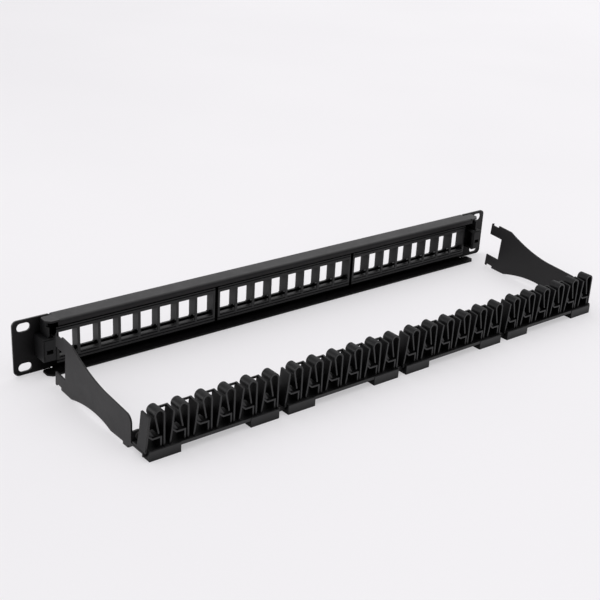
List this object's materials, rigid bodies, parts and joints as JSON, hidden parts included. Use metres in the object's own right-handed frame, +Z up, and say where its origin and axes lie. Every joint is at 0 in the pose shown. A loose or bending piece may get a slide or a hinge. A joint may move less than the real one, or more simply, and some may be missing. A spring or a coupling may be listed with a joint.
{
  "type": "patch panel",
  "caption": "One-unit 19-inch rack patch panel for snap-in jacks, with a hook-on rear cable bar that carries rows of plastic cable clips.",
  "frame": {"origin": "middle of the rear face of the two mounting ears, which is the plane that lies on the rack rails", "axes": "+X to the right seen from the front, +Y to the rear, where the cables leave, +Z up; the jack ports face -Y"},
  "size_m": [0.4826, 0.1533, 0.0444],
  "materials": {
    "panel_steel": "satin black powder coat",
    "bar_steel": "satin black powder coat",
    "frame_plastic": "fine-grained black moulding",
    "block_plastic": "black moulding",
    "clip_plastic": "black moulding with a slight sheen",
    "label_paper": "white card",
    "clear_plastic": "clear polished strip",
    "rivet_steel": "blackened steel"
  },
  "bodies": {
    "panel": {"front_plate": "panel_steel", "port_frame_1": "frame_plastic", "port_frame_2": "frame_plastic", "port_frame_3": "frame_plastic", "label_card_1": "label_paper", "label_card_2": "label_paper", "label_card_3": "label_paper", "label_cover_1": "clear_plastic", "label_cover_2": "clear_plastic", "label_cover_3": "clear_plastic", "latch_block_left": "block_plastic", "latch_block_right": "block_plastic"},
    "manager": {"arm_left": "bar_steel", "arm_right": "bar_steel", "clip_rail": "bar_steel", "bar_rivets": "rivet_steel", "clip_module_1": "clip_plastic", "clip_module_2": "clip_plastic", "clip_module_3": "clip_plastic", "clip_module_4": "clip_plastic"}
  },
  "joints": [
    {"name": "manager_slide", "type": "slide", "parent": "panel", "child": "manager", "axis": [0, -1, 0], "range_m": [0, 0.0255]}
  ]
}
